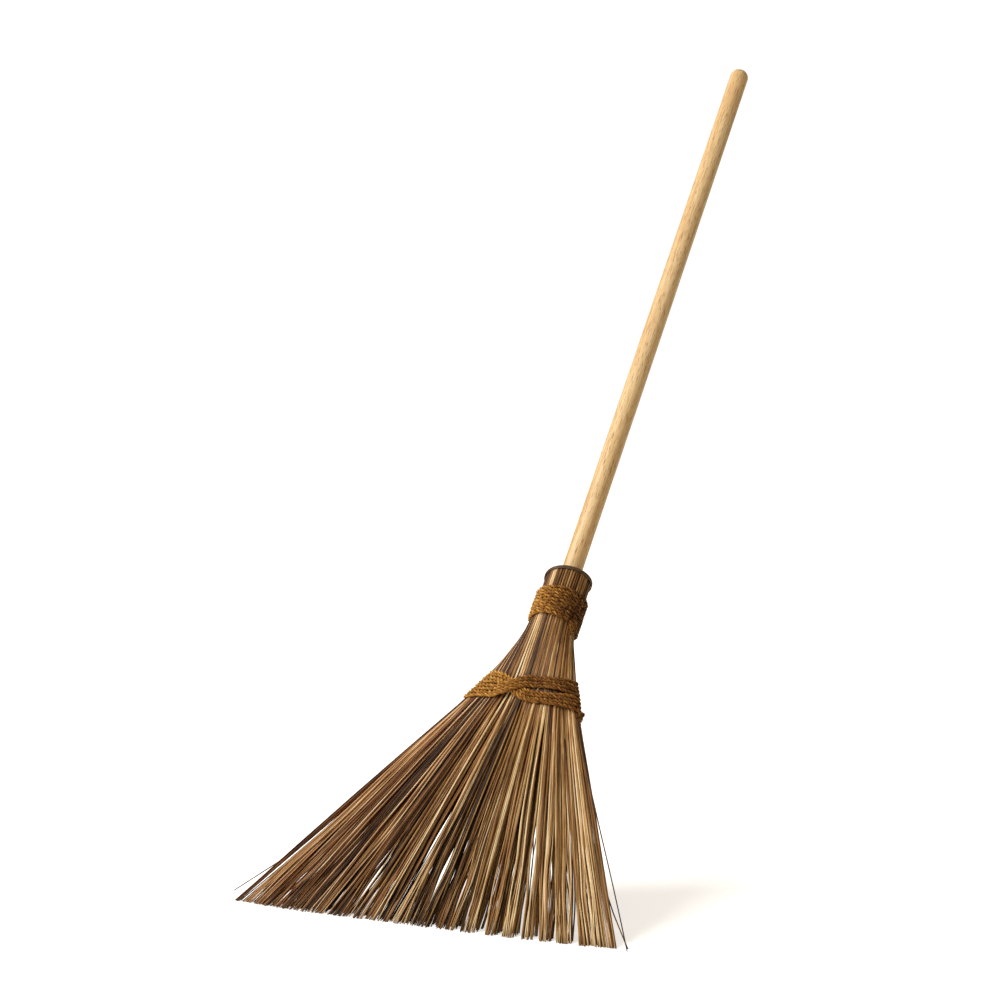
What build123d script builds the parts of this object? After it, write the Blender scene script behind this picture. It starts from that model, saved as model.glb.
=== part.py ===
"""Yard broom of palm-leaf ribs on a round wooden handle, bound with coir rope.

The broom stands as it does in use: the rib tips are worn flat on the floor, z = 0, and the handle
leans back towards +Y.  X runs along the sweeping edge.  The origin is where the handle's axis
meets the floor.  Lengths are in millimetres and angles in degrees.
"""
import math
import os
import random

from build123d import *

# ---- driving dimensions ---------------------------------------------------------------------
lean = 38.0                 # the handle's lean from vertical, towards +Y
head_length = 450.0         # floor to the rim of the head, along the handle's axis
handle_radius = 12.0
handle_exposed = 816.0      # rim of the head to the domed end of the handle
foot_waist_radius = 11.0    # the handle's foot where it leaves the neck
foot_tip_radius = 3.6
foot_waist_depth = 62.0     # depths are measured down the axis from the rim
foot_tip_depth = 122.0

ring_count = 6              # ribs stand around the foot in nested rings
ring_inner_radius = 13.2
ring_pitch = 2.5
rib_spacing = 3.1           # butt to butt, round a ring
rib_sides = 8               # a dried rib is angular in section
# a rib is wider round its ring than it is thick; each pair is half its width and half its thickness
butt_half = (1.4, 1.2)
waist_half = (1.35, 0.95)   # at the fan binding
tip_half = (1.1, 0.8)
neck_depth = 66.0           # the neck ends and the fan begins
fan_bind_depth = 154.0

bind_left, bind_right = 72.0, 60.0      # half-widths of the rib fan at the fan binding
sole_left, sole_right = 284.0, 200.0    # and at the floor
bind_narrowing = 0.048                  # each ring is this share wider than the one inside it
sole_narrowing = 0.030
bind_inner_half, bind_ring_pitch = 1.7, 2.2     # half thickness of the innermost ring, and its growth
sole_inner_half, sole_ring_pitch = 3.0, 3.2
tip_scatter = 2.4                       # how far a tip strays along the sole
tip_depth_scatter = 0.5
uncut_overrun = 22.0                    # how far the ribs would run on, were they not worn flat
groups_per_side = 12

hoop_height = 4.0
hoop_wall = 1.3

rope_radius = 2.1
rope_pitch = 4.35
neck_rope_top = 22.0        # depth of the first turn of the neck binding
neck_rope_turns = 9.5
band_turns = 4              # ropes side by side in each band of the fan binding
band_rise = 10.5            # how far a band's end stands above or below the binding's middle
clearance = 0.15

knot_ring_radius = 3.2
knot_rope_radius = 1.5
knot_tail_length = 9.0
neck_knot_turn = -18.0      # where the neck's knot sits, from the right side towards the front
neck_knot_depth = 62.0
fan_knot_reach = 74.0
fan_knot_depth = 179.0

stray_left, stray_left_depth = 290.0, 438.0
stray_right, stray_right_out = 213.0, 4.0

# ---- reference planes -----------------------------------------------------------------------
lean_sin = math.sin(math.radians(lean))
lean_cos = math.cos(math.radians(lean))
axis_up = Vector(0, lean_sin, lean_cos)
fan_front = Vector(0, -lean_cos, lean_sin)
# in the fan plane x runs along the sole, y up the handle's axis and z out of the fan's front
fan_plane = Plane(origin=(0, 0, 0), x_dir=(1, 0, 0), z_dir=fan_front)
handle_axis = Axis((0, 0, 0), axis_up)


def across(depth):
    """The plane square to the handle's axis at a depth below the rim; its y runs to the back."""
    return Plane(origin=axis_up * (head_length - depth), x_dir=(1, 0, 0), z_dir=axis_up)


# ---- where the ribs run ---------------------------------------------------------------------
bundle_radius = ring_inner_radius + (ring_count - 1) * ring_pitch + butt_half[1]
random_source = random.Random(7)


def flat_place(ring, lateral, side, outline, growth):
    """A rib's place in a flattened ring, and the turn that lays its width along the ring.

    The outline is the left and right half-widths and the share by which each ring is wider than
    the one inside it.  The growth is the innermost ring's half thickness and what a ring adds.
    """
    left, right, narrowing = outline
    inner_half, pitch = growth
    middle = (right - left) / 2
    ring_share = 1 - narrowing * (ring_count - 1 - ring)
    half = ((right + left) / 2 - waist_half[0]) * ring_share
    thick = side * (inner_half + ring * pitch)
    along = middle + half * lateral
    out = thick * (1 - lateral**4)
    turn = math.degrees(math.atan(4 * thick * lateral**3 / half))
    return along, out, turn


def rib_route(ring, lateral, side, tip=None):
    """A rib's centre and turn in the neck, at the fan binding and at the tip."""
    radius = ring_inner_radius + ring * ring_pitch
    angle = math.radians(90 * lateral)
    neck = (radius * math.sin(angle), side * radius * math.cos(angle), side * 90 * lateral)
    bind_outline = (bind_left, bind_right, bind_narrowing)
    bound = flat_place(ring, lateral, side, bind_outline, (bind_inner_half, bind_ring_pitch))
    if tip is None:
        sole_outline = (sole_left, sole_right, sole_narrowing)
        along, out, turn = flat_place(
            ring, lateral, side, sole_outline, (sole_inner_half, sole_ring_pitch)
        )
        along += random_source.uniform(-tip_scatter, tip_scatter)
        out += random_source.uniform(-tip_depth_scatter, tip_depth_scatter)
        tip = (along, out, turn)
    return neck, bound, tip


def beyond(bound, tip):
    """The place a rib would reach past its tip, were it not worn away."""
    share = uncut_overrun / (head_length - fan_bind_depth)
    along, out = (end + (end - start) * share for start, end in zip(bound[:2], tip[:2]))
    return along, out, tip[2]


def rib_corners(half_width, half_thickness):
    """The corners of a rib's section, on an ellipse round its centre."""
    angles = [2 * math.pi * (corner + 0.5) / rib_sides for corner in range(rib_sides)]
    return [(half_width * math.cos(angle), half_thickness * math.sin(angle)) for angle in angles]


def make_rib(route, tip_depth=None):
    """One rib: straight in the neck, bent at the neck's end and at the fan binding.

    A rib with no tip depth of its own reaches the sole, which the floor has worn flat.
    """
    neck, bound, tip = route
    worn = tip_depth is None
    if worn:
        tip_depth, tip = head_length + uncut_overrun, beyond(bound, tip)
    sections = [
        (0, neck, butt_half),
        (neck_depth, neck, butt_half),
        (fan_bind_depth, bound, waist_half),
        (tip_depth, tip, tip_half),
    ]
    with BuildPart() as rib:
        for depth, (along, out, turn), half in sections:
            with BuildSketch(across(depth)):
                with Locations((along, -out)):
                    Polygon(*rib_corners(*half), rotation=turn, align=None)
        loft(ruled=True)
        if worn:
            split(bisect_by=Plane.XY, keep=Keep.TOP)
    return rib.part


def rib_places():
    """Every rib as (ring, lateral place from -1 at the left to 1 at the right, side)."""
    places = []
    for ring in range(ring_count):
        radius = ring_inner_radius + ring * ring_pitch
        per_side = int(math.pi * radius / rib_spacing)
        stagger = ((ring * 0.38) % 1.0 - 0.5) * 0.8 / per_side
        for side in (1, -1):
            for index in range(per_side):
                lateral = -1 + (2 * index + 1) / per_side + side * stagger
                places.append((ring, lateral, side))
    return places


def is_stray(place, places):
    """The strays are the outermost ring's end ribs: both ends in front and the right end behind."""
    ring, lateral, side = place
    outer = [p[1] for p in places if p[0] == ring_count - 1 and p[2] == side]
    if ring < ring_count - 1:
        return False
    return lateral == max(outer) or (side == 1 and lateral == min(outer))


# ---- handle ---------------------------------------------------------------------------------
handle_end = head_length + handle_exposed
with BuildPart() as handle:
    with BuildSketch(fan_plane):
        with BuildLine():
            Polyline(
                (0, handle_end),
                (0, head_length - foot_tip_depth),
                (foot_tip_radius, head_length - foot_tip_depth),
                (foot_waist_radius, head_length - foot_waist_depth),
                (handle_radius, head_length),
                (handle_radius, handle_end - handle_radius),
            )
            RadiusArc(
                (handle_radius, handle_end - handle_radius), (0, handle_end), -handle_radius
            )
        make_face()
    revolve(axis=handle_axis)
handle.part.label = "handle"

# ---- rim hoop -------------------------------------------------------------------------------
hoop_inner = bundle_radius + clearance
with BuildPart() as rim_hoop:
    with BuildSketch(across(hoop_height)):
        Circle(hoop_inner + hoop_wall)
        Circle(hoop_inner, mode=Mode.SUBTRACT)
    extrude(amount=hoop_height)
    fillet(rim_hoop.edges().filter_by(GeomType.CIRCLE), hoop_wall * 0.4)
rim_hoop.part.label = "rim_hoop"

# ---- neck binding: one rope wound round the neck --------------------------------------------
neck_rope_coil = bundle_radius + clearance + rope_radius
neck_rope_bottom = neck_rope_top + neck_rope_turns * rope_pitch
with BuildPart() as neck_rope:
    with BuildLine() as neck_route:
        Helix(
            pitch=rope_pitch,
            height=neck_rope_turns * rope_pitch,
            radius=neck_rope_coil,
            center=axis_up * (head_length - neck_rope_bottom),
            direction=axis_up,
        )
    with BuildSketch(Plane(origin=neck_route.line @ 0, z_dir=neck_route.line % 0)):
        Circle(rope_radius)
    sweep(is_frenet=True)
neck_rope.part.label = "neck_rope"


# ---- fan binding: two bands of rope that cross on the front and on the back ------------------
bind_middle = (bind_right - bind_left) / 2
bind_half = (bind_right + bind_left) / 2
bind_thick = bind_inner_half + (ring_count - 1) * bind_ring_pitch + waist_half[1]


def band_plane(rise, shift):
    """A plane square to the fan that climbs by rise from the fan's middle to its right end."""
    slope = rise / bind_half
    run = Vector(1, 0, 0) + axis_up * slope
    middle = Vector(bind_middle, 0, 0) + axis_up * (head_length - fan_bind_depth + shift)
    return Plane(origin=middle, x_dir=run, z_dir=fan_front.cross(run) * -1)


def rope_loop(plane, half_run, end_radius):
    """One closed turn of rope: two straight runs joined by round ends."""
    with BuildPart() as loop:
        with BuildLine(plane) as route:
            Line((-half_run, end_radius), (half_run, end_radius))
            CenterArc((half_run, 0), end_radius, 90, -180)
            Line((half_run, -end_radius), (-half_run, -end_radius))
            CenterArc((-half_run, 0), end_radius, 270, -180)
        wire = route.wire()
        with BuildSketch(Plane(origin=wire @ 0, z_dir=wire % 0)):
            Circle(rope_radius)
        sweep(path=wire)
    return loop.part


def band_loops(rise, lift):
    """Side-by-side turns round the fan; lift is how far they clear the ribs."""
    end_radius = bind_thick + clearance + rope_radius + lift
    half_run = bind_half + clearance + rope_radius - end_radius
    shifts = [(turn - (band_turns - 1) / 2) * rope_pitch for turn in range(band_turns)]
    return [rope_loop(band_plane(rise, shift), half_run, end_radius) for shift in shifts]


inner_loops = band_loops(-band_rise, 0.0)
with BuildPart() as fan_rope_inner:
    add(inner_loops)
fan_rope_inner.part.label = "fan_rope_inner"

outer_loops = band_loops(band_rise, 2 * rope_radius + clearance)
with BuildPart() as fan_rope_outer:
    add(outer_loops)
fan_rope_outer.part.label = "fan_rope_outer"


# ---- knots ----------------------------------------------------------------------------------
def make_knot(seat):
    """A round turn of rope lying on its seat plane, with a tail lying down the broom from it."""
    ring_section = Plane(
        origin=seat.origin + seat.x_dir * knot_ring_radius, x_dir=seat.x_dir, z_dir=seat.y_dir
    )
    tail_start = Plane(origin=seat.origin - seat.y_dir * knot_ring_radius, z_dir=-seat.y_dir)
    with BuildPart() as knot:
        with BuildSketch(ring_section):
            Circle(knot_rope_radius)
        revolve(axis=Axis(seat.origin, seat.z_dir))
        with BuildSketch(tail_start):
            Circle(knot_rope_radius)
        extrude(amount=knot_tail_length)
    return knot.part


def seat_on(direction, reach, depth):
    """A plane facing outwards, at a reach from the axis and a depth below the rim."""
    middle = axis_up * (head_length - depth) + direction * reach
    return Plane(origin=middle, x_dir=axis_up.cross(direction), z_dir=direction)


neck_knot_direction = Vector(1, 0, 0).rotate(handle_axis, neck_knot_turn)
neck_knot_reach = neck_rope_coil + rope_radius + knot_rope_radius
neck_knot = make_knot(seat_on(neck_knot_direction, neck_knot_reach, neck_knot_depth))
neck_knot.label = "neck_knot"

fan_knot = make_knot(seat_on(Vector(1, 0, 0), fan_knot_reach, fan_knot_depth))
fan_knot.label = "fan_knot"

# ---- ribs -----------------------------------------------------------------------------------
all_places = rib_places()
stray_places = [place for place in all_places if is_stray(place, all_places)]
groups = {}
for place in all_places:
    if place not in stray_places:
        ring, lateral, side = place
        number = min(int((lateral + 1) / 2 * groups_per_side), groups_per_side - 1) + 1
        groups.setdefault((side, number), []).append(place)

rib_groups = []
for (side, number), places in sorted(groups.items(), key=lambda item: (-item[0][0], item[0][1])):
    ribs = [make_rib(rib_route(*place)) for place in places]
    label = f"{'front' if side > 0 else 'back'}_ribs_{number:02d}"
    rib_groups.append(Compound(label=label, children=ribs))

# ribs that have sprung out past the fan's edges; the left one's end stands clear of the floor
strays = []
for place in stray_places:
    ring, lateral, side = place
    if lateral < 0:
        strays.append(make_rib(rib_route(*place, tip=(-stray_left, 0, 0)), stray_left_depth))
    else:
        strays.append(make_rib(rib_route(*place, tip=(stray_right, side * stray_right_out, 0))))
stray_ribs = Compound(label="stray_ribs", children=strays)

# ---- write the pieces -----------------------------------------------------------------------
os.makedirs("parts", exist_ok=True)
pieces = [handle.part, rim_hoop.part, neck_rope.part, neck_knot, fan_rope_inner.part,
          fan_rope_outer.part, fan_knot, stray_ribs]
for piece in pieces + rib_groups:
    export_step(piece, f"parts/{piece.label}.step")
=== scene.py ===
"""Looks of the palm-rib yard broom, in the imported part's frame, in metres."""

import math

import bpy
import numpy as np
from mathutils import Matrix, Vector


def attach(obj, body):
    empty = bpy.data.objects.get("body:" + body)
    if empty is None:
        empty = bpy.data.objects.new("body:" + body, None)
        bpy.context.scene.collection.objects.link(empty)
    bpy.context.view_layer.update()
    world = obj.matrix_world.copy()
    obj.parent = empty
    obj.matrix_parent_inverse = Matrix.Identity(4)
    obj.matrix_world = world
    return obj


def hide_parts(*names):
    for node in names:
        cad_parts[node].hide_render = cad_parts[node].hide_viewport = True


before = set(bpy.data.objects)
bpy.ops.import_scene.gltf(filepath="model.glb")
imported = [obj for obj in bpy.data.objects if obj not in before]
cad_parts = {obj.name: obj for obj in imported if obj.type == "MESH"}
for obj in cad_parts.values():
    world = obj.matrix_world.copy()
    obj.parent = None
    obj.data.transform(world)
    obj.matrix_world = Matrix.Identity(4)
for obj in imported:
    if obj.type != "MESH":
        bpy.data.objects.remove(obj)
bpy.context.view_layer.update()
scene = bpy.context.scene
chance = np.random.default_rng(11)

# ---- the broom's sizes and directions: lengths on it are in millimetres ------------------------
LEAN = math.radians(38.0)
HEAD = 450.0                            # from the rim down to the sole
NECK_HALF = 27.0                        # half the neck's width
NECK_END, BIND = 66.0, 154.0            # how far down the neck ends and the fan binding lies
BIND_LEFT, BIND_RIGHT = 72.0, 60.0      # the fan's reach at its binding
SOLE_LEFT, SOLE_RIGHT = 284.0, 200.0    # and at the floor
ALONG = np.array([1.0, 0.0, 0.0])
UP = np.array([0.0, math.sin(LEAN), math.cos(LEAN)])
FRONT = np.array([0.0, -math.cos(LEAN), math.sin(LEAN)])


def broom(along, out, depth):
    """Points in metres from places across, out of and down the broom, in millimetres."""
    along, out, depth = np.broadcast_arrays(along, out, depth)
    point = along[..., None] * ALONG + out[..., None] * FRONT + (HEAD - depth)[..., None] * UP
    return point / 1000


def unit(vectors):
    return vectors / np.maximum(np.linalg.norm(vectors, axis=-1, keepdims=True), 1e-12)


def smooth(low, high, value):
    """A soft step from 0 at low to 1 at high."""
    share = np.clip((value - low) / (high - low), 0, 1)
    return share * share * (3 - 2 * share)


def rounded(value, power):
    """A power of the value that keeps its sign."""
    return np.sign(value) * np.abs(value) ** power


def any_angle():
    return chance.random() * 6.28


def wander(where, wavelength, waves=4):
    """A smooth random line of about unit size along where."""
    total = np.zeros_like(where)
    for wave in range(waves):
        length = wavelength / (1 + 0.73 * wave)
        total += np.sin(2 * math.pi * (where / length + chance.random())) / (1 + 0.5 * wave)
    return total / 1.6


# ---- mesh building ----------------------------------------------------------------------------
CUT_END = 2.0       # stands in the third value of look on the flat end of a tube


class Pile:
    """Gathers tubes into one mesh, with what its material reads at each point.

    look holds tone, redness and the share of the length; grain runs round and along each tube.
    """

    def __init__(self):
        self.points, self.looks, self.grains = [], [], []
        self.quads, self.caps = [], []
        self.count = 0

    def keep(self, points, look, grain):
        flat = points.reshape(-1, 3)
        index = self.count + np.arange(len(flat)).reshape(points.shape[:-1])
        self.points.append(flat)
        self.looks.append(np.broadcast_to(look, points.shape).reshape(-1, 3))
        self.grains.append(np.broadcast_to(grain, points.shape).reshape(-1, 3))
        self.count += len(flat)
        return index

    def skin(self, rings, look, grain, closed=False):
        """The surface over a row of rings, joined end to end or with a flat face at each end."""
        index = self.keep(rings, look, grain)
        near, far = (index, np.roll(index, -1, 0)) if closed else (index[:-1], index[1:])
        quads = [near, np.roll(near, -1, 1), np.roll(far, -1, 1), far]
        self.quads.append(np.stack(quads, -1).reshape(-1, 4))
        if closed:
            return
        for end, order in ((0, -1), (-1, 1)):
            cut = np.array(np.broadcast_to(look, rings.shape)[end])
            cut[:, 2] = CUT_END
            face = self.keep(rings[end], cut, np.broadcast_to(grain, rings.shape)[end])
            self.caps.append(face[::order].tolist())

    def piece(self, name, material, slot, node):
        mesh = bpy.data.meshes.new(name)
        quads = np.concatenate(self.quads)
        mesh.from_pydata(np.concatenate(self.points).tolist(), [], quads.tolist() + self.caps)
        for key, rows in (("look", self.looks), ("grain", self.grains)):
            attribute = mesh.attributes.new(key, "FLOAT_VECTOR", "POINT")
            attribute.data.foreach_set("vector", np.concatenate(rows).astype(np.float32).ravel())
        curved = np.arange(len(mesh.polygons)) < len(quads)
        mesh.polygons.foreach_set("use_smooth", curved)
        mesh.materials.append(material)
        made = bpy.data.objects.new(name, mesh)
        scene.collection.objects.link(made)
        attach(made, "root")
        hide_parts(node)


def tangents(path, closed=False):
    if closed:
        return unit(np.roll(path, -1, 0) - np.roll(path, 1, 0))
    return unit(np.gradient(path, axis=0))


def tube(path, side, wide, thin, sides, closed=False, relief=None):
    """Rings round a path: wide and thin are half-sizes, in metres, along side and across it."""
    tangent = tangents(path, closed)
    side = unit(side - tangent * (side * tangent).sum(-1, keepdims=True))
    over = np.cross(tangent, side)
    angle = np.arange(sides) * 2 * math.pi / sides
    wide = np.broadcast_to(wide, len(path))[:, None, None]
    thin = np.broadcast_to(thin, len(path))[:, None, None]
    offset = np.cos(angle)[:, None] * wide * side[:, None] + np.sin(angle)[:, None] * thin * over[:, None]
    if relief is not None:
        offset = offset * relief(angle)[..., None]
    return path[:, None] + offset, tangent, angle


def grain_on(angle, lengths):
    """Pattern places: round the tube, then along it in millimetres, from a random start."""
    start = chance.uniform(0, 400, 3)
    lengths = np.asarray(lengths)[:, None]
    return np.stack(np.broadcast_arrays(np.cos(angle), np.sin(angle), lengths), -1) + start


# ---- materials --------------------------------------------------------------------------------
def linear(colour):
    """Linear light from a colour in 0 to 255 steps."""
    return [((c / 255 + 0.055) / 1.055) ** 2.4 if c > 10 else c / 255 / 12.92 for c in colour]


class Shader:
    """A short way to build node materials."""

    def __init__(self, name):
        self.material = bpy.data.materials.new(name)
        self.material.use_nodes = True
        self.tree = self.material.node_tree
        self.surface = self.tree.nodes["Principled BSDF"]

    def node(self, kind, inputs=(), **settings):
        made = self.tree.nodes.new("ShaderNode" + kind)
        for key, value in settings.items():
            setattr(made, key, value)
        for key, value in dict(inputs).items():
            self.put(made.inputs[key], value)
        return made

    def put(self, socket, value):
        if isinstance(value, bpy.types.NodeSocket):
            self.tree.links.new(value, socket)
        else:
            socket.default_value = value

    def attribute(self, name):
        return self.node("Attribute", attribute_name=name).outputs["Vector"]

    def look(self):
        return self.node("SeparateXYZ", {"Vector": self.attribute("look")}).outputs

    def noise(self, vector, stretch, detail, roughness, distortion=0.0):
        """Noise, finer along each axis by the number given for it in stretch."""
        place = self.node("Mapping", {"Vector": vector, "Scale": stretch}).outputs["Vector"]
        inputs = {"Vector": place, "Scale": 1.0, "Detail": detail, "Roughness": roughness,
                  "Distortion": distortion}
        return self.node("TexNoise", inputs).outputs["Fac"]

    def math(self, operation, *values, clamp=False):
        made = self.node("Math", operation=operation, use_clamp=clamp)
        for socket, value in zip(made.inputs, values):
            self.put(socket, value)
        return made.outputs[0]

    def ranged(self, value, from_low, from_high, to_low, to_high):
        inputs = {"Value": value, "From Min": from_low, "From Max": from_high, "To Min": to_low,
                  "To Max": to_high}
        return self.node("MapRange", inputs).outputs["Result"]

    def ramp(self, value, stops):
        made = self.node("ValToRGB", {"Fac": value})
        elements = made.color_ramp.elements
        while len(elements) < len(stops):
            elements.new(0.5)
        for element, (place, colour) in zip(elements, stops):
            element.position = place
            element.color = (*linear(colour), 1)
        return made.outputs["Color"]

    def mix(self, share, first, second):
        """first, with second laid over it by the share."""
        made = self.node("Mix", data_type="RGBA")
        self.put(made.inputs["Factor"], share)
        for key, value in (("A", first), ("B", second)):
            socket = [s for s in made.inputs if s.name == key and s.type == "RGBA"][0]
            self.put(socket, value if isinstance(value, bpy.types.NodeSocket) else (*linear(value), 1))
        return [s for s in made.outputs if s.type == "RGBA"][0]

    def finish(self, colour, roughness, specular):
        self.put(self.surface.inputs["Base Color"], colour)
        self.put(self.surface.inputs["Roughness"], roughness)
        self.surface.inputs["Specular IOR Level"].default_value = specular

    def bump(self, height, strength, distance):
        inputs = {"Height": height, "Strength": strength, "Distance": distance}
        self.put(self.surface.inputs["Normal"], self.node("Bump", inputs).outputs["Normal"])


def palm_rib_material():
    """Dried palm midrib: a streaked tan to chocolate skin, darker at its worn and cut ends."""
    s = Shader("palm_rib")
    tone, redness, share = s.look()[:3]
    grain = s.attribute("grain")
    streaks = s.noise(grain, (1.6, 1.6, 0.012), 4.0, 0.6)
    blotches = s.noise(grain, (0.25, 0.25, 0.03), 3.0, 0.6)
    fine = s.noise(grain, (4.5, 4.5, 0.05), 3.0, 0.6)
    value = s.math("ADD", tone, s.ranged(streaks, 0.3, 0.7, -0.17, 0.17))
    value = s.math("ADD", value, s.ranged(blotches, 0.3, 0.7, -0.14, 0.14), clamp=True)
    plain = s.ramp(value, [(0.0, (20, 10, 4)), (0.28, (66, 42, 20)), (0.55, (142, 102, 52)),
                           (0.8, (198, 164, 110)), (1.0, (232, 212, 170))])
    red = s.ramp(value, [(0.0, (20, 8, 4)), (0.3, (70, 36, 18)), (0.6, (144, 88, 48)),
                         (0.85, (206, 158, 114)), (1.0, (238, 208, 174))])
    colour = s.mix(redness, plain, red)
    colour = s.mix(s.ranged(fine, 0.55, 0.8, 0.0, 0.45), colour, (36, 20, 9))
    worn_tip = s.ranged(share, 0.97, 1.0, 0.0, 0.45)
    cut_end = s.ranged(share, CUT_END - 0.5, CUT_END - 0.4, 0.0, 0.8)
    colour = s.mix(worn_tip, colour, (56, 35, 18))
    colour = s.mix(cut_end, colour, (36, 22, 12))
    s.finish(colour, s.ranged(streaks, 0.3, 0.7, 0.42, 0.66), 0.2)
    s.bump(s.math("ADD", streaks, s.math("MULTIPLY", fine, 0.5)), 0.5, 0.0003)
    return s.material


def coir_material():
    """Twisted coconut fibre: golden brown strands, with painted shade darkening the hollows between the
    fibres.
    """
    s = Shader("coir_rope")
    tone = s.look()[0]
    grain = s.attribute("grain")
    fibres = s.noise(grain, (3.4, 3.4, 0.22), 4.0, 0.65, 0.3)
    patches = s.noise(grain, (0.3, 0.3, 0.09), 3.0, 0.6)
    # painted shade: the noise that dips the bump also darkens the colour in the hollows between the fibres
    value = s.math("ADD", tone, s.ranged(fibres, 0.28, 0.72, -0.4, 0.4))
    value = s.math("ADD", value, s.ranged(patches, 0.3, 0.7, -0.14, 0.14), clamp=True)
    colour = s.ramp(value, [(0.0, (22, 10, 2)), (0.3, (92, 52, 14)), (0.58, (168, 112, 42)),
                            (0.82, (212, 162, 80)), (1.0, (240, 206, 136))])
    s.finish(colour, s.ranged(fibres, 0.3, 0.7, 0.85, 0.65), 0.12)
    s.surface.inputs["Sheen Weight"].default_value = 0.05
    s.surface.inputs["Sheen Roughness"].default_value = 0.5
    s.bump(fibres, 0.9, 0.0006)
    return s.material


def wood_material():
    """Pale straight-grained wood, flecked and scuffed, with a thin wax shine."""
    s = Shader("handle_wood")
    grain = s.attribute("grain")
    rings = s.noise(grain, (90.0, 90.0, 1.6), 4.0, 0.55, 0.4)
    fibres = s.noise(grain, (900.0, 900.0, 14.0), 4.0, 0.6)
    flecks = s.noise(grain, (1300.0, 1300.0, 75.0), 2.0, 0.5)
    clouds = s.noise(grain, (26.0, 26.0, 7.0), 3.0, 0.55)
    scuffs = s.noise(grain, (60.0, 60.0, 160.0), 5.0, 0.7)
    value = s.math("ADD", s.math("MULTIPLY", rings, 0.55), s.math("MULTIPLY", fibres, 0.45))
    colour = s.ramp(value, [(0.34, (184, 146, 96)), (0.46, (212, 178, 126)), (0.56, (227, 197, 150)),
                            (0.68, (240, 214, 174))])
    colour = s.mix(s.ranged(clouds, 0.35, 0.7, 0.0, 0.35), colour, (196, 146, 88))
    colour = s.mix(s.ranged(flecks, 0.55, 0.68, 0.0, 0.8), colour, (132, 86, 44))
    colour = s.mix(s.ranged(scuffs, 0.62, 0.8, 0.0, 0.22), colour, (150, 104, 66))
    s.finish(colour, s.ranged(s.math("ADD", fibres, scuffs), 0.7, 1.3, 0.36, 0.56), 0.45)
    s.bump(s.math("ADD", fibres, s.math("MULTIPLY", flecks, 0.6)), 0.35, 0.0003)
    return s.material


def hoop_material():
    """Dull dark brown metal, worn and chalky."""
    s = Shader("hoop")
    grain = s.attribute("grain")
    wear = s.noise(grain, (160.0, 160.0, 160.0), 5.0, 0.65)
    chalk = s.noise(grain, (900.0, 900.0, 900.0), 3.0, 0.6)
    colour = s.ramp(wear, [(0.3, (44, 32, 20)), (0.5, (74, 55, 38)), (0.68, (112, 88, 64))])
    colour = s.mix(s.ranged(chalk, 0.55, 0.75, 0.0, 0.45), colour, (140, 120, 94))
    s.finish(colour, s.ranged(wear, 0.3, 0.7, 0.55, 0.8), 0.25)
    s.bump(s.math("ADD", wear, chalk), 0.4, 0.0004)
    return s.material


rib_skin, coir, wood, dark_hoop = palm_rib_material(), coir_material(), wood_material(), hoop_material()


# ---- handle and hoop: turned shapes ------------------------------------------------------------
def rim_slant(along, out):
    """How far down the axis the rim lies: the bundle's mouth isn't cut quite square."""
    return -2.6 - 3.4 * along / NECK_HALF - 2.0 * out / NECK_HALF


def turned(name, outline, sides, unevenness, material, slot, node, closed=False, slant=0.0):
    """A shape turned round the handle's axis from its outline of radii and depths."""
    radii, depths = np.array(outline).T
    angle = np.arange(sides) * 2 * math.pi / sides
    uneven = sum(
        np.sin(k * angle[None] + wander(depths, 140.0)[:, None] * 2 + chance.random() * 6) / k
        for k in (2, 3, 5)
    )
    radius = radii[:, None] * (1 + unevenness * uneven)
    along, out = radius * np.cos(angle), radius * np.sin(angle)
    rings = broom(along, out, depths[:, None] + slant * rim_slant(along, out))
    grain = np.stack([along, out, np.broadcast_to((HEAD - depths)[:, None], along.shape)], -1) / 1000
    pile = Pile()
    pile.skin(rings[:, ::-1], np.zeros(3), grain[:, ::-1], closed=closed)
    pile.piece(name, material, slot, node)


HANDLE_R, HANDLE_TOP = 12.0, -816.0     # depths above the rim are negative
foot = [(3.4, 122), (3.6, 121), (11.0, 62), (11.98, 0.5)]
shaft = [(HANDLE_R, depth) for depth in np.arange(-6.0, HANDLE_TOP + 12.6, -8.0)]
dome = [(HANDLE_R * math.cos(a), HANDLE_TOP + HANDLE_R * (1 - math.sin(a)))
        for a in np.radians(np.arange(2, 90, 5.5))]
turned("handle_shaft", foot + shaft + dome, 96, 0.006, wood, "handle_wood", "handle")

HOOP_R, HOOP_HALF_THICK, HOOP_HALF_TALL = 27.75, 0.8, 2.05
section = np.radians(np.arange(0, 360, 20))
hoop_outline = np.stack([HOOP_R + HOOP_HALF_THICK * rounded(np.cos(section), 0.6),
                         HOOP_HALF_TALL + HOOP_HALF_TALL * rounded(np.sin(section), 0.6)], -1)
turned("hoop_band", hoop_outline, 128, 0.008, dark_hoop, "hoop", "rim_hoop", closed=True, slant=1.0)

# ---- where the ribs run --------------------------------------------------------------------------
# A rib's lateral place runs from -1 at the left edge to 1 at the right. Its side is 1 in front and
# -1 behind, and its ring is 0 next to the handle.
RINGS = 6
GROUPS = 12
RIB_HALF = 1.35
RIB_SPACING = 3.1
AT_BINDING = {"left": BIND_LEFT, "right": BIND_RIGHT, "narrowing": 0.048, "inner": 1.7, "pitch": 2.2}
AT_SOLE = {"left": SOLE_LEFT, "right": SOLE_RIGHT, "narrowing": 0.014, "inner": 1.5, "pitch": 1.8}
BEND_OVER = np.linspace(-18, 18, 9)     # a rib turns each corner over this length
BEYOND = 160.0                          # routes are carried on past the tip, so that it isn't bent

# half widths and half thicknesses of a rib, from its butt to just above its tip
RIB_DEPTHS = [0, NECK_END, BIND, 300, HEAD]
RIB_WIDE = [1.42, 1.45, 1.4, 0.9]
RIB_THIN = [1.2, 1.2, 1.05, 0.86]
TIP_WIDE, STRAY_TIP_WIDE, TIP_FLATNESS = 0.68, 0.72, 0.85

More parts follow.
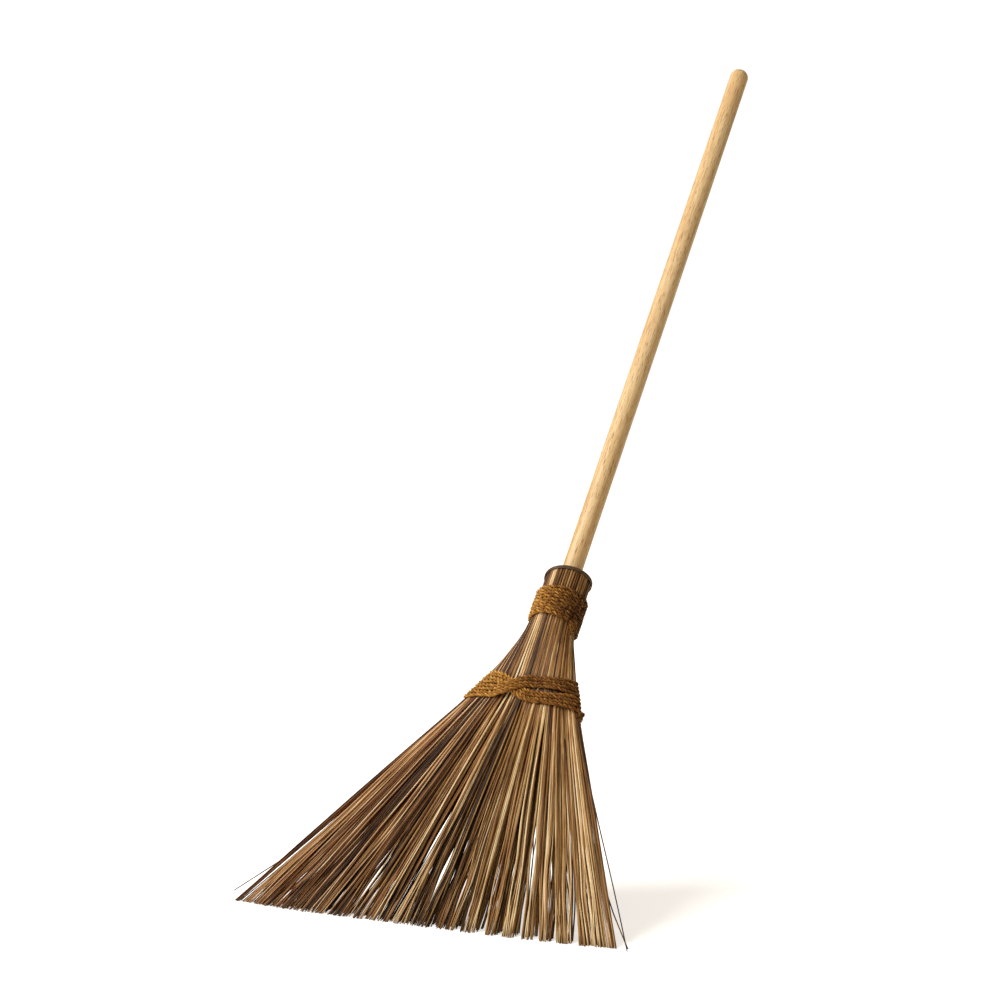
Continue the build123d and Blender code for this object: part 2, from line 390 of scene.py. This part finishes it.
# no rib stands out of the fan's outline
EDGE_DEPTHS = [0, NECK_END, BIND, HEAD, 560]
LEFT_EDGE = [-NECK_HALF, -NECK_HALF, -BIND_LEFT, -SOLE_LEFT, -363]
RIGHT_EDGE = [NECK_HALF, NECK_HALF, BIND_RIGHT, SOLE_RIGHT, 252]
EDGE_MARGIN = 0.6

# long gaps in the fan: place along the sole, middle depth, reach up and down, half width
PARTINGS = [(-170, 336, 56, 4.2), (-132, 392, 30, 2.6), (-76, 338, 50, 3.1), (-40, 380, 34, 2.6),
            (-2, 396, 30, 2.6), (40, 340, 34, 2.2), (62, 368, 34, 3.4), (92, 362, 36, 2.6),
            (118, 388, 40, 2.8), (144, 396, 40, 2.8), (172, 400, 34, 2.4)]

# tips gather in clumps, more so in the loose stretch on the right
LOOSE_END, LOOSE_PULL, PULL = 170, 0.36, 0.1
clumps = np.sort(np.concatenate([np.arange(-280, 0, 17.0), np.arange(4, 205, 23.0)]))
clumps = clumps + chance.uniform(-4, 4, len(clumps))


def ring_radius(ring):
    return 13.2 + 2.5 * ring


def flat_place(ring, lateral, side, left, right, narrowing, inner, pitch):
    """A rib's place across and out of the flat fan at one depth, and the way it faces there."""
    middle = (right - left) / 2
    half = ((right + left) / 2 - RIB_HALF) * (1 - narrowing * (RINGS - 1 - ring))
    thick = side * (inner + ring * pitch)
    return middle + half * lateral, thick * (1 - lateral**4), math.atan(4 * thick * lateral**3 / half)


def through(depth, depths, values):
    """A line through the values at the depths, with its corners rounded."""
    return sum(np.interp(depth + shift, depths, values) for shift in BEND_OVER) / len(BEND_OVER)


def parted(tip, tip_out, depth):
    """How far a rib leans aside at the gaps, which run slantwise through the fan."""
    shift = np.zeros_like(depth)
    for place, middle, reach, gap in PARTINGS:
        skew = 0.66 - 0.0018 * place
        off = tip - place - skew * tip_out
        near = math.exp(-((off / 8) ** 2)) * math.copysign(gap, off)
        shift += near * np.exp(-(((depth - middle) / reach) ** 2))
    return shift


def tip_place(ring, lateral, side, may_cross):
    """Where a rib's tip lies, across and out: near its even place, or now and then past others."""
    even, even_out, _ = flat_place(ring, lateral, side, **AT_SOLE)
    tip = even + chance.uniform(-3, 3)
    crosses = chance.random() < 0.10
    if crosses and may_cross and ring < 5:
        tip += chance.choice([-1, 1]) * chance.uniform(7, 15)
    centre = clumps[np.argmin(np.abs(clumps - tip))]
    tip += (centre - tip) * (LOOSE_PULL if 0 < tip < LOOSE_END else PULL)
    return float(np.clip(tip, -SOLE_LEFT, SOLE_RIGHT)), even_out + chance.uniform(-1.2, 1.2)


def rib_tone(ring, lateral, depth, leftness, stray, filler):
    """How light a rib is down its length, from 0 to 1."""
    tone = 0.44 + 0.03 * leftness + chance.normal(0, 0.22) + 0.03 * (ring - 4)
    tone -= 0.05 * math.exp(-((lateral / 0.25) ** 2))
    if chance.random() < 0.17:
        tone += 0.27
    if abs(lateral) > 0.97:
        # the ribs along the fan's edges are darker and more alike
        tone = 0.34 + 0.5 * (tone - 0.44)
    if filler:
        tone = chance.uniform(0.05, 0.25) if lateral < 0.1 else chance.uniform(0.45, 0.8)
    # lighter towards the lower right, where the skin has weathered off
    tone = tone + 0.2 * smooth(0.05, 0.7, lateral) * (0.05 + 0.95 * smooth(150, 330, depth))
    if stray:
        tone = 0.26
    # painted shade under and beside the fan binding, where the rope shades the ribs
    tone = tone - 0.3 * np.exp(-(((depth - 156) / 11) ** 2))
    return np.clip(tone, 0.05, 0.95)


def lay_rib(pile, ring, lateral, side, start=0.0, stray=(), filler=False):
    """One rib from its butt to the floor, as a tapering, slightly wandering, flattened rod.

    A stray follows the fan's edge to the binding, and then the corners given for it.
    """
    turn = side * math.pi / 2 * lateral
    radius = ring_radius(ring)
    neck = (radius * math.sin(abs(turn)) * np.sign(lateral), side * radius * math.cos(turn))
    bound_along, bound_out, bound_facing = flat_place(ring, lateral, side, **AT_BINDING)
    tip, tip_out = tip_place(ring, lateral, side, may_cross=not stray)
    short = chance.uniform(0, 0.7) + (chance.uniform(3, 14) if chance.random() < 0.025 else 0)

    # corners of the route, as depth, place across and place out
    corners = [(-60, *neck), (NECK_END, *neck), (BIND, bound_along, bound_out), (HEAD, tip, tip_out)]
    if stray:
        corners[3:] = stray
        short = 0.0
    depths, alongs, outs = (list(line) for line in zip(*corners))
    lands = depths[-1] >= HEAD
    end = HEAD + outs[-1] * math.tan(LEAN) - short if lands else depths[-1]
    run = depths[-1] - depths[-2]
    for line in (alongs, outs, depths):
        line.append(line[-1] + (line[-1] - line[-2]) / run * BEYOND)

    if start == 0:
        start = rim_slant(*neck)
    depth = np.concatenate([np.linspace(start, 40, 3), np.linspace(52, 170, 11), np.linspace(190, end, 15)])
    depth = depth[depth >= start]
    share = np.clip((depth - BIND) / (HEAD - BIND), 0, 1.05)
    belly = share * (1 - share) * 4
    sway = chance.normal(0, 2.6) * belly
    sway = sway + chance.normal(0, 1.1) * np.sin(2 * math.pi * (1.5 * share + chance.random())) * share
    sway_out = chance.normal(0, 1.8) * belly
    if abs(lateral) > 0.93 or stray:
        sway = sway * 0.3
    along = through(depth, depths, alongs) + sway
    if not stray:
        left_edge = through(depth, EDGE_DEPTHS, LEFT_EDGE) + EDGE_MARGIN
        right_edge = through(depth, EDGE_DEPTHS, RIGHT_EDGE) - EDGE_MARGIN
        along = np.clip(along + parted(tip, tip_out, depth), left_edge, right_edge)
    path = broom(along, through(depth, depths, outs) + sway_out, depth)

    size = float(np.clip(chance.normal(1.0, 0.09), 0.78, 1.2))
    size *= (1.25 if filler and lateral < 0.2 else 0.95) / 1000
    facing = np.interp(depth, [0, NECK_END, BIND], [turn, turn, bound_facing]) + chance.normal(0, 0.25)
    across = np.cos(facing)[:, None] * ALONG - np.sin(facing)[:, None] * FRONT
    tip_wide = STRAY_TIP_WIDE if stray else TIP_WIDE
    wide = np.interp(depth, RIB_DEPTHS, RIB_WIDE + [tip_wide]) * size
    thin = np.interp(depth, RIB_DEPTHS, RIB_THIN + [tip_wide * TIP_FLATNESS]) * size
    keel, phase = chance.uniform(0.05, 0.14), any_angle()

    def relief(angle):
        ridges = 1 + keel * np.cos(3 * angle + phase)
        knobs = 1 + 0.05 * wander(depth, 60.0)
        return ridges[None] * knobs[:, None]

    rings, tangent, angle = tube(path, across, wide, thin, 8, relief=relief)
    if lands:
        # the tip is worn level with the floor
        above = rings[-1][:, 2] - short * math.cos(LEAN) / 1000
        rings[-1] -= tangent[-1] * (above / tangent[-1][2])[:, None]

    leftness = smooth(0.2, -0.9, lateral)
    look = np.empty(rings.shape)
    look[..., 0] = rib_tone(ring, lateral, depth, leftness, stray, filler)[:, None]
    look[..., 1] = np.clip(0.12 + 0.5 * leftness + chance.normal(0, 0.2), 0, 1)
    look[..., 2] = ((depth - start) / (end - start))[:, None]
    pile.skin(rings, look, grain_on(angle, depth))


def group_of(lateral):
    return min(max(int((lateral + 1) / 2 * GROUPS), 0), GROUPS - 1) + 1


# the ribs in their nested rings, and the three that have sprung out of the outermost one
places = []
for ring in range(RINGS):
    per_side = int(math.pi * ring_radius(ring) / RIB_SPACING)
    stagger = ((ring * 0.38) % 1.0 - 0.5) * 0.8 / per_side
    for side in (1, -1):
        for index in range(per_side):
            places.append((ring, -1 + (2 * index + 1) / per_side + side * stagger, side, per_side))
outer = {side: [p for p in places if p[0] == RINGS - 1 and p[2] == side] for side in (1, -1)}
strays = [outer[1][0], outer[1][-1], outer[-1][-1]]

# more ribs are packed between the rings, a step aside of a share of the ribs; they only show where
# the broom fans out
PACKED = ((1.0, 1.0), (0.45, 0.9), (1.6, 0.75), (0.7, 0.4))
PACKED_OUTERMOST = 4.8
tufts = {(side, number): Pile() for side in (1, -1) for number in range(1, GROUPS + 1)}
for place in places:
    ring, lateral, side, per_side = place
    if place in strays:
        continue
    tuft = tufts[side, group_of(lateral)]
    lay_rib(tuft, ring, lateral, side)
    for step, share in PACKED:
        if chance.random() < share:
            between = float(np.clip(lateral + step / per_side, -0.97, 0.97))
            lay_rib(tuft, min(ring + step / 2, PACKED_OUTERMOST), between, side, start=30.0)

# ribs inside the fan, which close it to the light: wide and dark on the left, paler on the right
for lateral in np.arange(-0.95, 0.96, 0.012):
    side = chance.choice([-1, 1])
    if lateral < 0.1 or chance.random() < 0.7:
        tuft = tufts[side, group_of(lateral)]
        lay_rib(tuft, chance.uniform(0, 2), float(lateral), side, start=60.0, filler=True)

# the fan's edges are closed by ribs that lie close along them
for side in (1, -1):
    for end, number in ((-1, 9), (1, 7)):
        for index in range(number):
            lateral = end * (0.91 + 0.094 * (index + 1 - chance.random() * 0.4) / number)
            lay_rib(tufts[side, group_of(lateral)], 4.7, lateral, side, start=40.0)
        for edge in (0.986, 0.992, 0.998, 1.003):
            lay_rib(tufts[side, group_of(end)], 5.0, end * edge, side, start=40.0)

for (side, number), pile in tufts.items():
    word = "front" if side > 0 else "back"
    pile.piece(f"{word}_tuft_{number:02d}", rib_skin, "palm_rib", f"{word}_ribs_{number:02d}")

stray_pile = Pile()
stray_ends = [[(374, -222, 0.5), (438, -290, 0.0)],
              [(243, 100, 1.5), (356, 163, 3.0), (450, 213, 4.0)],
              [(396, 173, -3.0), (450, 213, -4.0)]]
for (ring, lateral, side, _), corners in zip(strays, stray_ends):
    lay_rib(stray_pile, ring, lateral, side, stray=corners)
stray_pile.piece("sprung_ribs", rib_skin, "palm_rib", "stray_ribs")


# ---- rope -------------------------------------------------------------------------------------------
def resampled(path, outward, step, closed):
    """The path and its outward directions at even steps along it."""
    if closed:
        path, outward = np.vstack([path, path[:1]]), np.vstack([outward, outward[:1]])
    lengths = np.concatenate([[0], np.cumsum(np.linalg.norm(np.diff(path, axis=0), axis=1))])
    count = max(int(lengths[-1] / step), 8)
    at = np.linspace(0, lengths[-1], count, endpoint=not closed)
    path = np.stack([np.interp(at, lengths, path[:, k]) for k in range(3)], -1)
    outward = np.stack([np.interp(at, lengths, outward[:, k]) for k in range(3)], -1)
    return path, unit(outward), at, lengths[-1]


def rope(pile, path, outward, radius, lay, tone, closed=False, step=0.0008):
    """Two strands of fibre twisted round each other; radius, lay and step are in metres.

    tone is one number, or a row of them spread evenly along the rope.
    """
    path, outward, at, length = resampled(path, outward, step, closed)
    tangent = tangents(path, closed)
    outward = unit(outward - tangent * (outward * tangent).sum(-1, keepdims=True))
    over = np.cross(tangent, outward)
    turns = max(round(length / lay), 1) if closed else length / lay
    turn = 2 * math.pi * turns * at / length + any_angle()
    if not closed:
        turn = turn + 1.1 * wander(at, 0.09)
    row = np.atleast_1d(tone)
    tones = np.interp(at / length, np.linspace(0, 1, len(row)), row)
    for ply in (0, 1):
        angle = turn + math.pi * ply
        arm = np.cos(angle)[:, None] * outward + np.sin(angle)[:, None] * over
        swell = 1 + (0.0 if closed else 0.07) * wander(at, 0.014)
        centre = path + arm * (radius * 0.5 * swell)[:, None]
        ridge, fine = any_angle(), any_angle()

        def relief(around):
            twist = 1 + 0.10 * np.sin(4 * around[None] + 2.1 * turn[:, None] + ridge)
            return twist + 0.06 * np.sin(7 * around[None] - 1.4 * turn[:, None] + fine)

        rings, _, around = tube(centre, arm, radius * 0.56, radius * 0.56, 10, closed, relief)
        look = np.zeros(rings.shape)
        look[..., 0] = (tones + chance.normal(0, 0.05))[:, None]
        pile.skin(rings, look, grain_on(around, at * 1000), closed=closed)
    return path, outward, tangent


def fuzz(pile, path, outward, tangent, radius, count, reach, tone):
    """Loose fibres that stand off a rope."""
    for _ in range(count):
        spot = chance.integers(2, len(path) - 2)
        over = np.cross(tangent[spot], outward[spot])
        swing = chance.uniform(-1.5, 1.5)
        away = math.cos(swing) * outward[spot] + math.sin(swing) * over
        start = path[spot] + away * radius * 0.75
        run = tangent[spot] * chance.choice([-1, 1]) * chance.uniform(0.3, 1.4)
        run = unit(run + away * chance.uniform(0.15, 1.0) + chance.normal(0, 0.25, 3))
        curl = chance.normal(0, 0.5, 3)
        length = reach * chance.uniform(0.3, 1.25)
        share = np.linspace(0, 1, 5)[:, None]
        line = start + length * (run * share + curl * share**2 * 0.5)
        line[:, 2] = np.maximum(line[:, 2], 0.001)
        thick = chance.uniform(0.1, 0.19) / 1000 * (1 - 0.6 * share[:, 0])
        rings, _, around = tube(line, np.tile(over, (5, 1)), thick, thick, 3)
        look = np.array([np.clip(tone + chance.normal(0.1, 0.12), 0, 1), 0.0, 0.0])
        pile.skin(rings, look, grain_on(around, share[:, 0] * 5))


ROPE = 2.15             # half the rope's thickness, in millimetres
ROPE_RADIUS, ROPE_LAY = ROPE / 1000, 0.0115

# neck binding: one rope wound round the neck, its last turns sagging towards the right
NECK_COIL, NECK_TOP, NECK_TURNS, NECK_PITCH = 29.1, 22.3, 9.5, 4.3
turn = np.linspace(0, NECK_TURNS * 2 * math.pi, 2400)
row = turn / (2 * math.pi)
spot = turn + math.radians(200)
sag = 4.5 * (row / NECK_TURNS) ** 2 * np.maximum(0, np.cos(spot - math.radians(10))) ** 2
depth = NECK_TOP + row * NECK_PITCH + sag + 0.55 * wander(turn, 9.0)
coil = NECK_COIL + 0.28 * wander(turn, 5.0)
path = broom(coil * np.cos(spot), coil * np.sin(spot), depth)
outward = np.cos(spot)[:, None] * ALONG + np.sin(spot)[:, None] * FRONT
# painted light and shade: the rope is painted lighter on its left front, which faces the key light, and
# darker on its right back
neck_painted_light_tone = 0.49 - 0.24 * np.cos(spot - math.radians(-25))
neck_pile = Pile()
made = rope(neck_pile, path, outward, ROPE_RADIUS, ROPE_LAY, neck_painted_light_tone)
fuzz(neck_pile, *made, ROPE_RADIUS, 520, 0.007, 0.6)
neck_pile.piece("neck_binding", coir, "coir_rope", "neck_rope")

# fan binding: two bands of four turns that cross on the front and on the back
BAND_TURNS = 4
BAND_GAP, CROSS_AT, CROSS_OVER = 20.8, -15.0, 17.0
BAND_OUT = 13.65        # the fan's half thickness under the binding
LEFT_END, RIGHT_END, END_PITCH = -70.0, 62.0, 5.2
LEFT_SLOPE, RIGHT_SLOPE = 0.62, 0.43        # how fast the fan widens at the binding
OVER_LIFT = 4.1


def gap_between(along):
    return BAND_GAP * np.tanh((along - CROSS_AT) / CROSS_OVER)


def band_depth(along, sign, shift):
    """How far down a turn lies: on a shallow arch, above or below the other band."""
    return 156 - 9 * ((along - 20) / 95) ** 2 - sign * gap_between(along) / 2 + shift


def band(name, node, sign, tone):
    """One band; the one with sign 1 lifts over the other where they cross."""
    pile = Pile()
    theta = np.linspace(0, 2 * math.pi, 1600, endpoint=False)
    reach = rounded(np.cos(theta), 0.4)
    for turn_number in range(BAND_TURNS):
        slot = turn_number - (BAND_TURNS - 1) / 2
        left_depth = band_depth(LEFT_END, sign, slot * END_PITCH)
        right_depth = band_depth(RIGHT_END, sign, slot * END_PITCH)
        left = BIND_LEFT + LEFT_SLOPE * (left_depth - BIND) + ROPE * 0.9
        right = BIND_RIGHT + RIGHT_SLOPE * (right_depth - BIND) + ROPE * 0.9
        along = np.where(reach < 0, reach * left, reach * right)
        pitch = 3.75 + 1.5 * smooth(-25, -70, along) + 1.35 * smooth(28, 56, along)
        depth = band_depth(along, sign, slot * pitch)
        depth = depth + 0.5 * np.sin(3 * theta + chance.random() * 6)
        depth = depth + 0.3 * np.sin(7 * theta + chance.random() * 6)
        crossing = 1 - smooth(13.5, 19.0, np.abs(gap_between(along)))
        lift = OVER_LIFT * crossing if sign > 0 else 0.0
        thick = BAND_OUT + ROPE * 0.92 + lift * np.abs(np.sin(theta)) ** 0.5
        out = rounded(np.sin(theta), 1.5) * thick
        path = broom(along, out, depth)
        normal_along = np.sign(np.cos(theta)) * np.abs(reach) ** 4 / 66
        normal_out = np.sign(np.sin(theta)) * (np.abs(out) / thick) ** 0.34 / 14
        outward = unit(normal_along[:, None] * ALONG + normal_out[:, None] * FRONT)
        # painted shade: each turn is painted darker towards the right, away from the key light
        painted_shade_right = tone + 0.02 - 0.14 * np.append(reach, reach[0]) + chance.normal(0, 0.03)
        made = rope(pile, path, outward, ROPE_RADIUS, ROPE_LAY, painted_shade_right, closed=True)
        fuzz(pile, *made, ROPE_RADIUS, 75, 0.0065, tone + 0.08)
    pile.piece(name, coir, "coir_rope", node)


band("fan_band_under", "fan_rope_inner", -1, 0.50)
band("fan_band_over", "fan_rope_outer", 1, 0.48)

# knots: the rope's end tied over itself, with a short frayed tail
KNOT_LAY = 0.0085
TREFOIL_RADIUS, TREFOIL_FUZZ, TAIL_RADIUS, TAIL_FUZZ = 0.00165, 0.0016, 0.0015, 0.0014
KNOT_TONE = 0.3


def knot(name, node, direction, reach, depth, size):
    """A trefoil of rope lying against the broom, with a short tail down the broom."""
    pile = Pile()
    outward = direction[0] * ALONG + direction[1] * FRONT
    across = np.cross(UP, outward)
    middle = broom(direction[0] * reach, direction[1] * reach, depth)
    t = np.linspace(0, 2 * math.pi, 200, endpoint=False)
    flat_x, flat_y, lift = np.sin(t) + 2 * np.sin(2 * t), np.cos(t) - 2 * np.cos(2 * t), -np.sin(3 * t)
    path = middle + (flat_x[:, None] * across + flat_y[:, None] * UP) * size / 1000
    path = path + (lift[:, None] * outward) * size * 0.75 / 1000
    normals = np.tile(outward, (len(t), 1))
    made = rope(pile, path, normals, TREFOIL_RADIUS, KNOT_LAY, KNOT_TONE, closed=True, step=0.0006)
    fuzz(pile, *made, TREFOIL_FUZZ, 60, 0.007, KNOT_TONE + 0.1)
    share = np.linspace(0, 1, 40)[:, None]
    tail = middle - UP * (size * 2 + 9 * share) / 1000
    tail = tail + (across * 1.5 * share**2 - outward * 1.2 * share) / 1000
    made = rope(pile, tail, np.tile(outward, (40, 1)), TAIL_RADIUS, KNOT_LAY, KNOT_TONE, step=0.0005)
    fuzz(pile, *made, TAIL_FUZZ, 60, 0.008, KNOT_TONE + 0.1)
    pile.piece(name, coir, "coir_rope", node)


knot_turn = math.radians(18)
knot("neck_tie", "neck_knot", (math.cos(knot_turn), math.sin(knot_turn)), 32.4, 65.0, 1.75)
knot("fan_tie", "fan_knot", (1.0, 0.0), 71.5, 177.5, 2.3)

# ---- floor, light and camera -------------------------------------------------------------------------
# the floor glows a little, and more further off, so that it runs into the white behind it
FLOOR_HALF, FLOOR_Z = 9, -0.0002
floor_shader = Shader("floor")
floor_shader.surface.inputs["Base Color"].default_value = (0.9, 0.9, 0.9, 1)
floor_shader.surface.inputs["Roughness"].default_value = 0.9
floor_shader.surface.inputs["Specular IOR Level"].default_value = 0.0
floor_shader.surface.inputs["Emission Color"].default_value = (1, 1, 1, 1)
floor_place = floor_shader.node("TexCoord").outputs["Object"]
away = floor_shader.node("VectorMath", {0: floor_place}, operation="LENGTH").outputs["Value"]
glow = floor_shader.ranged(away, 0.9, 3.0, 0.60, 0.95)
seen_directly = floor_shader.node("LightPath").outputs["Is Camera Ray"]
glow = floor_shader.math("MULTIPLY", glow, floor_shader.ranged(seen_directly, 0.0, 1.0, 0.3, 1.0))
floor_shader.put(floor_shader.surface.inputs["Emission Strength"], glow)
floor_mesh = bpy.data.meshes.new("floor")
corners = [(x * FLOOR_HALF, y * FLOOR_HALF, FLOOR_Z) for x, y in ((-1, -1), (1, -1), (1, 1), (-1, 1))]
floor_mesh.from_pydata(corners, [], [(0, 1, 2, 3)])
floor_mesh.materials.append(floor_shader.material)
floor = bpy.data.objects.new("floor", floor_mesh)
scene.collection.objects.link(floor)


def area_light(name, place, target, size, power, colour):
    light = bpy.data.lights.new(name, "AREA")
    light.shape, light.size, light.energy, light.color = "DISK", size, power, colour
    made = bpy.data.objects.new(name, light)
    made.location = place
    made.rotation_euler = (Vector(target) - Vector(place)).to_track_quat("-Z", "Y").to_euler()
    scene.collection.objects.link(made)


area_light("key", (-2.3, -2.2, 3.3), (0, 0.2, 0.3), 2.8, 225, (1.0, 0.99, 0.97))
area_light("fill", (2.8, -2.6, 1.8), (0, 0.2, 0.4), 2.0, 6, (1.0, 0.8, 0.5))

# the camera sees plain white behind the broom, and the broom gets a dimmer, warmer light from there
world = bpy.data.worlds.new("studio")
world.use_nodes = True
scene.world = world
tree = world.node_tree
backdrop = tree.nodes["Background"]
backdrop.inputs["Strength"].default_value = 1.05
backdrop.inputs["Color"].default_value = (1, 1, 1, 1)
ambient = tree.nodes.new("ShaderNodeBackground")
ambient.inputs["Strength"].default_value = 0.34
ambient.inputs["Color"].default_value = (1.0, 0.86, 0.64, 1)
seen = tree.nodes.new("ShaderNodeLightPath")
either = tree.nodes.new("ShaderNodeMixShader")
tree.links.new(seen.outputs["Is Camera Ray"], either.inputs["Fac"])
tree.links.new(ambient.outputs["Background"], either.inputs[1])
tree.links.new(backdrop.outputs["Background"], either.inputs[2])
tree.links.new(either.outputs["Shader"], tree.nodes["World Output"].inputs["Surface"])
scene.view_settings.view_transform = "Standard"

lens = bpy.data.cameras.new("camera")
lens.lens, lens.sensor_width = 90.0, 36.0
camera = bpy.data.objects.new("camera", lens)
camera.location = (1.3373, -2.3241, 0.6217)
look = Vector((-0.48054, 0.87503, -0.0584))
camera.rotation_euler = look.to_track_quat("-Z", "Y").to_euler()
scene.collection.objects.link(camera)
scene.camera = camera
